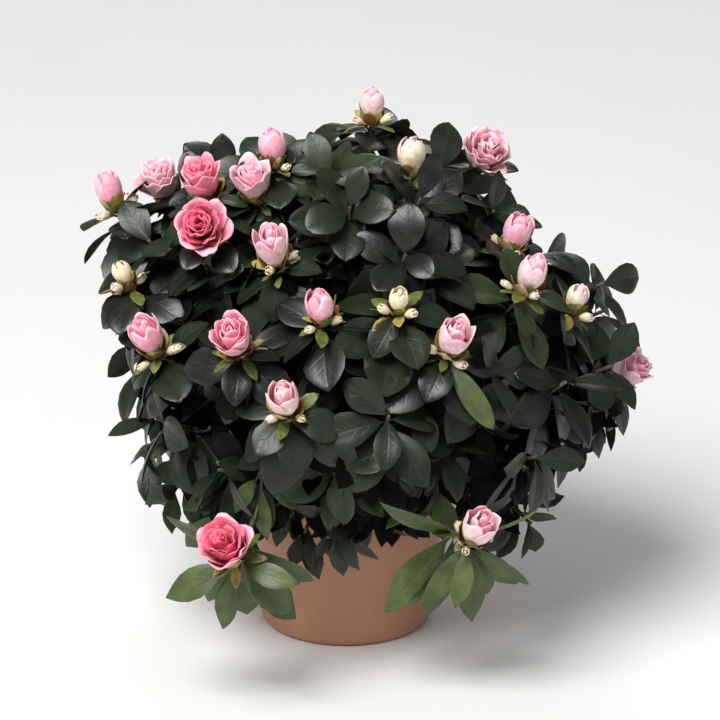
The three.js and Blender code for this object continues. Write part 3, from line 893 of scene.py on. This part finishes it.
LEAF_FINISHES = [
    # painted shade: near black and with little specular, for leaves deep in the crown
    leaf_finish("leaf_painted_shade", (0.0025, 0.003, 0.002), 0.6, 1.5, specular=0.08),
    leaf_finish("leaf_dark", (0.006, 0.0086, 0.005), 0.36, 2.2, specular=0.44),
    leaf_finish("leaf_deep", (0.011, 0.0175, 0.0075), 0.39, 2.0),
    leaf_finish("leaf_mid", (0.02, 0.032, 0.011), 0.42, 1.8),
    leaf_finish("leaf_olive", (0.062, 0.088, 0.025), 0.44, 1.6),
    leaf_finish("leaf_underside", (0.03, 0.038, 0.022), 0.65, 1.6),
    leaf_finish("leaf_underside_olive", (0.105, 0.135, 0.06), 0.62, 1.4),
]
PETAL_COLOURS = {  # by the tint, between which the others are mixed
    0: (0.66, 0.045, 0.105), 2: (0.82, 0.165, 0.265), 5: (0.92, 0.47, 0.575),
    6.4: (0.93, 0.66, 0.67), IVORY: (0.84, 0.72, 0.49),
}
PETAL_FINISHES = []
for step in range(IVORY + 1):
    channels = zip(*PETAL_COLOURS.values())
    tone = [np.interp(step, list(PETAL_COLOURS), channel) for channel in channels]
    PETAL_FINISHES.append(
        finish(f"petal_{step}", tone, 0.55, mottle=0.14, grain=3, relief=0.25, sheen=0.15)
    )
BUD_FINISHES = [
    finish("young_leaf", (0.115, 0.135, 0.028), 0.5, mottle=0.35, grain=3),
    finish("scale_amber", (0.22, 0.105, 0.028), 0.55, mottle=0.3, grain=3),
    finish("scale_cream", (0.56, 0.42, 0.2), 0.55, mottle=0.2, grain=3),
    finish("scale_gold", (0.34, 0.26, 0.06), 0.55, mottle=0.35, grain=3),
]
TWIG_FINISHES = [
    finish("twig_bark", (0.085, 0.062, 0.04), 0.8, mottle=0.4, grain=3, relief=0.6, depth=0.3),
    finish("twig_green", (0.11, 0.1, 0.045), 0.6, mottle=0.3, grain=3, relief=0.3),
]
BARK_FINISH = finish(
    "bark", (0.105, 0.078, 0.052), 0.85, mottle=0.45, grain=3, relief=0.8, fine=0.8, depth=0.5,
)
POT_FINISH = finish(
    "pot_terracotta", (0.43, 0.205, 0.118), 0.52, mottle=0.05, grain=16, relief=0.12, fine=0.7,
    depth=0.1,
)
SOIL_FINISHES = [
    finish("peat", (0.022, 0.014, 0.009), 0.95, mottle=0.5, grain=2.5, relief=1, fine=0.9, depth=0.8),
    finish("peat_fibre", (0.06, 0.036, 0.02), 0.95, mottle=0.4, grain=2, relief=0.8, depth=0.5),
]


# -------- the pot and the soil

def arc(centre, radius, start, end, steps):
    """Profile points on an arc, from one angle in degrees to another."""
    x, y = centre
    angles = np.radians(np.linspace(start, end, steps))
    return [(x + radius * math.cos(a), y + radius * math.sin(a)) for a in angles]


def add_lathe(gather, profile, segments, lift=None):
    """Turns a profile of (radius, height) points round Z. It starts and ends on the axis."""
    profile = np.asarray(profile, float)
    turn = -np.linspace(0, 2 * math.pi, segments, endpoint=False)
    radius, height = profile[1:-1, :1], profile[1:-1, 1:]
    rings = np.broadcast_arrays(radius * np.cos(turn), radius * np.sin(turn), height)
    rings = np.stack(rings, axis=-1)
    ends = np.array([(0, 0, profile[0, 1]), (0, 0, profile[-1, 1])])
    if lift is not None:
        rings, ends = lift(rings), lift(ends)
    add_rings(gather, rings, ends, 0)


def build_pot():
    shelf, foot = POT_SHELF, POT_SHELF + POT["step_height"]
    rim, wall, neck = POT["rim_radius"], POT["wall"], POT["neck_radius"]
    base, corner = POT["base_radius"], POT["corner_radius"]
    band = rim - POT["rim_taper"]
    lip = wall / 2
    profile = [(0, 1.2), (36, 1.2), (37.5, 0), (base - corner, 0)]
    profile += arc((base - corner, corner), corner, -80, 0, 7)
    up_side = (0.12, 0.34, 0.56, 0.78, 0.97)
    profile += [(mix(base, neck, t), mix(corner, shelf - 2, t)) for t in up_side]
    profile += [(neck + 0.25, shelf - 0.4), (neck + 1.2, shelf + 0.8), (band - 2.2, foot - 2.2)]
    profile += arc((band - 1.6, foot + 0.4), 1.6, -45, 0, 4)
    profile += [(mix(band, rim, t), mix(foot + 0.6, POT["height"] - 2, t)) for t in (0.2, 0.5, 0.8)]
    profile += arc((rim - lip, POT["height"] - lip), lip, 0, 180, 9)
    profile += [(band - wall, foot), (neck - wall, shelf), (base - wall, wall + 2)]
    profile += [(base - wall - 3, wall), (0, wall)]
    gather = Gather()
    add_lathe(gather, profile, 160)
    piece = gather.build("pot_shell", [POT_FINISH], "pot")
    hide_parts("pot")


def build_soil():
    wall = POT["wall"] + 0.4
    up_rim = (SOIL_LEVEL - POT_SHELF) / POT["rim_height"]
    outer = mix(POT["neck_radius"], POT["rim_radius"], up_rim) - wall
    top = [(outer * t, SOIL_LEVEL + SOIL_MOUND * (1 - t)) for t in np.linspace(1, 0, 22)]
    profile = [(0, wall), (POT["base_radius"] - wall - 1, wall)]
    profile += [(POT["neck_radius"] - wall, POT_SHELF), *top]

    def lumps(points):
        x, y, z = (points[..., k] for k in range(3))
        bumps = np.sin(x / 3.1 + 1.3 * np.sin(y / 4.7)) * np.sin(y / 2.7 + np.sin(x / 5.3))
        bumps += 0.6 * np.sin(x / 1.3 + y / 2.1) * np.sin(y / 1.1 - x / 2.9)
        inside = np.hypot(x, y) < outer - 0.5
        return np.stack([x, y, z + np.where((z > SOIL_LEVEL - 1) & inside, 0.8 * bumps, 0)], axis=-1)

    gather = Gather()
    add_lathe(gather, profile, 128, lift=lumps)
    draw = random_from(71)
    for k in range(PEAT_FIBRES):
        distance, around = (outer - 3) * math.sqrt(draw()), 2 * math.pi * draw()
        place = np.array([
            distance * math.cos(around), distance * math.sin(around),
            SOIL_LEVEL + SOIL_MOUND * (1 - distance / outer) + 0.4,
        ])
        heading = unit((draw() - 0.5, draw() - 0.5, 0.25 * (draw() - 0.5)))
        long, thick = 1.5 + 3.5 * draw() ** 2, 0.5 + 0.7 * draw()
        add_tube(gather, [place, place + heading * long / 2, place + heading * long],
                 (thick, thick * 1.2, thick * 0.8), 5, k % 3 == 0)
    piece = gather.build("soil_peat", SOIL_FINISHES, "soil")
    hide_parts("soil")


# -------- wood

def bark_relief(seed, depth):
    """Shallow ridges and cracks that run along a limb."""
    draw = random_from(seed)
    waves = [(n, 60 * (draw() - 0.5), 2 * math.pi * draw()) for n in (3, 5, 8, 11, 14)]

    def relief(share, turn):
        total = sum(np.sin(n * turn + rate * share + phase) for n, rate, phase in waves)
        return depth * (total / 5 - 0.5 * np.maximum(0, np.sin(9 * turn + 17 * share)) ** 6)

    return relief


def flared(limb, share):
    """The radii along a limb, which widens at its root."""
    flare = limb["flare"] * np.exp(-share / limb["flare_length"])
    return mix(limb["root"], limb["tip"], share) + flare


def build_limbs():
    """The trunk and the boughs, with the bark's relief."""
    gather = Gather()
    share = np.linspace(0, 1, 60)
    line = along_curve(TRUNK_LINE, share)
    add_tube(gather, line, flared(TRUNK, share), 48, relief=bark_relief(3, 0.7))
    for index, name in enumerate(NAMES):
        if name == "crown_top":
            continue
        share = np.linspace(0, 1, 34)
        line = along_curve(carrier_of(index), share)
        add_tube(gather, line, flared(BOUGH, share), 16, relief=bark_relief(20 + index, 0.3))
    piece = gather.build("trunk_and_boughs", [BARK_FINISH], "bark")
    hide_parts("trunk", *(f"bough_{name}" for name in NAMES if name != "crown_top"))


def add_wood(twigs, curve, root_radius, tip_radius, sides, steps, tint, seed=None):
    share = np.linspace(0, 1, steps)
    radii = mix(root_radius, tip_radius, share)
    relief = bark_relief(seed, 0.12 * root_radius) if seed else None
    add_tube(twigs, along_curve(curve, share), radii, sides, tint, relief)


# -------- the whole plant

# Stems, main shoots and side shoots: radius at the root and the tip, sides, rings and the tint in
# TWIG_FINISHES.
STEM_WOOD = (2.4, 1.7, 10, 14, 0)
SHOOT_WOOD = (1.7, 1.0, 7, 12, 0)
SIDE_WOOD = (1.1, 0.7, 5, 6, 1)
SIDE_FORKS = (0.4, 0.52, 0.64)  # where along a shoot its side shoots fork
LIT_SIDES = 0.4  # the share of side shoots with their shoot's own tints; the others' leaves are painted shade
LEAF_GRID = (10, 5)  # rows and columns of points on a leaf's middle surface
INNER_LEAF_GRID = (8, 3)
BRACT_GRID = (7, 5)
LOWER_LEAVES_BELOW = 0.36  # the sine of the lift that parts the crown's pieces


def grow_shoot(shoot, number, leaves, inner, twigs):
    """A main shoot's twig with its leaves and its side shoots."""
    draw, tints = shoot["draw"], tint_of(shoot, number)
    add_wood(twigs, shoot["twig"], *SHOOT_WOOD, seed=90 + number)
    if shoot["bare"]:
        return
    habit = "hanging" if shoot["hangs"] else "under_flower" if shoot["open"] > 0 else "leafy"
    grow_rosette(leaves, shoot, draw, tints, habit)
    if shoot["toward"][2] > OPEN_BELOW_SINE:
        # The inner leaves are all painted shade, near black.
        grow_rosette(inner, shoot, draw, (PAINTED_SHADE, PAINTED_SHADE), "inner")
    for side in side_shoots(shoot, draw):
        add_wood(twigs, side["twig"], *SIDE_WOOD)
        # Most side shoots' leaves are painted shade, near black.
        grow_rosette(leaves, side, draw, tints if draw() < LIT_SIDES else (PAINTED_SHADE, PAINTED_SHADE), "side")
    if number == LONG_LEAF_FLOWER:
        root, heading = down_twig(shoot, 3), unit(LONG_LEAF["heading"])
        leaves.add(root, heading, FRONT, LONG_LEAF["length"], LONG_LEAF["aspect"], LONG_LEAF["bend"],
                   (OLIVE, UNDER_OLIVE))


def build_plant():
    shoots, stems = plan_shoots()
    twigs, petals, bud_petals, bracts = Gather(), Gather(), Gather(), Gather()
    upper, lower, inner, small = Leaves(), Leaves(), Leaves(), Leaves()
    for index, stem in enumerate(stems):
        add_wood(twigs, stem, *STEM_WOOD, seed=50 + index)
    for number, shoot in enumerate(shoots):
        leaves = lower if shoot["toward"][2] < LOWER_LEAVES_BELOW else upper
        grow_shoot(shoot, number, leaves, inner, twigs)
        if shoot["open"] > 0:
            draw = random_from(number * 17 + 3)
            grow_flower(petals, shoot["flower_root"], shoot["flower_axis"], shoot["open"],
                        shoot["colouring"], draw, flower_size(shoot["open"]))
            grow_bracts(small, shoot, draw)
            if 0.05 < shoot["open"] < 0.5:
                grow_small_buds(bud_petals, small, twigs, shoot, draw, 3 + number % 3)

    twigs.build("twigs", TWIG_FINISHES, "bark")
    for name, group, grid in (
        ("leaves_upper", upper, LEAF_GRID), ("leaves_lower", lower, LEAF_GRID),
        ("leaves_inner", inner, INNER_LEAF_GRID),
    ):
        gather = Gather()
        group.build(gather, LEAF_THICKNESS, *grid)
        gather.build(name, LEAF_FINISHES, "leaf")
    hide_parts(*(f"foliage_{name}" for name in NAMES))
    small.build(bracts, BRACT_THICKNESS, *BRACT_GRID)
    bracts.build("bracts_and_young_leaves", BUD_FINISHES, "young_leaf")
    petals.build("blossom", PETAL_FINISHES, "petal")
    bud_petals.build("small_buds", PETAL_FINISHES, "petal")


# -------- stage, light and camera

CAMERA_PLACE = (-0.2773, -2.1131, 0.9191)
LOOK_AT = (0.008, 0.0, 0.152)
LENS = 205.0
FLOOR_HALF = 6.0
SKY_COLOUR = (1.0, 0.99, 0.975, 1)
SKY_STRENGTH = 0.22
# Each lamp's place and aim, the width of its disc in metres and its power in watts.
LAMPS = {
    "key": ((-1.2, -1.4, 2.6), (0, 0, 0.15), 1.9, 132),
    "fill": ((1.8, -1.4, 1.2), (0, 0, 0.15), 1.6, 5),
    "back": ((0.4, 2.2, 1.8), (0, 0, 0.2), 1.4, 16),
}


def build_stage():
    mesh = bpy.data.meshes.new("floor")
    corners = [(x * FLOOR_HALF, y * FLOOR_HALF, 0) for x, y in ((-1, -1), (1, -1), (1, 1), (-1, 1))]
    mesh.from_pydata(corners, [], [(0, 1, 2, 3)])
    floor = put_in_scene("floor", mesh)
    pale = finish("floor_pale", (0.8, 0.8, 0.79), 0.7, mottle=0.01, grain=200, relief=0.02)
    mesh.materials.append(pale)
    floor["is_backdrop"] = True


def aim_from(thing, place, aim):
    """Puts a lamp or the camera in its place and turns it to what it looks at."""
    thing.location = place
    thing.rotation_mode = "QUATERNION"
    thing.rotation_quaternion = (Vector(aim) - Vector(place)).to_track_quat("-Z", "Y")


def build_light():
    world = bpy.data.worlds.new("studio")
    bpy.context.scene.world = world
    world.use_nodes = True
    background = world.node_tree.nodes["Background"]
    background.inputs["Color"].default_value = SKY_COLOUR
    background.inputs["Strength"].default_value = SKY_STRENGTH
    for name, (place, aim, size, power) in LAMPS.items():
        lamp = bpy.data.lights.new(name, "AREA")
        lamp.shape = "DISK"
        lamp.size = size
        lamp.energy = power
        aim_from(put_in_scene(name, lamp), place, aim)


def build_camera():
    camera = put_in_scene("camera", bpy.data.cameras.new("camera"))
    aim_from(camera, CAMERA_PLACE, LOOK_AT)
    camera.data.lens = LENS
    camera.data.sensor_width = 36.0
    camera.data.clip_end = 50.0
    bpy.context.scene.camera = camera


bpy.context.scene.view_settings.view_transform = "Standard"
build_camera()
build_light()
build_stage()
build_pot()
build_soil()
build_limbs()
build_plant()

boxes = {"cad": CAD_BOX, "visual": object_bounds()}
{name: [list(corner) for corner in box] for name, box in boxes.items()}
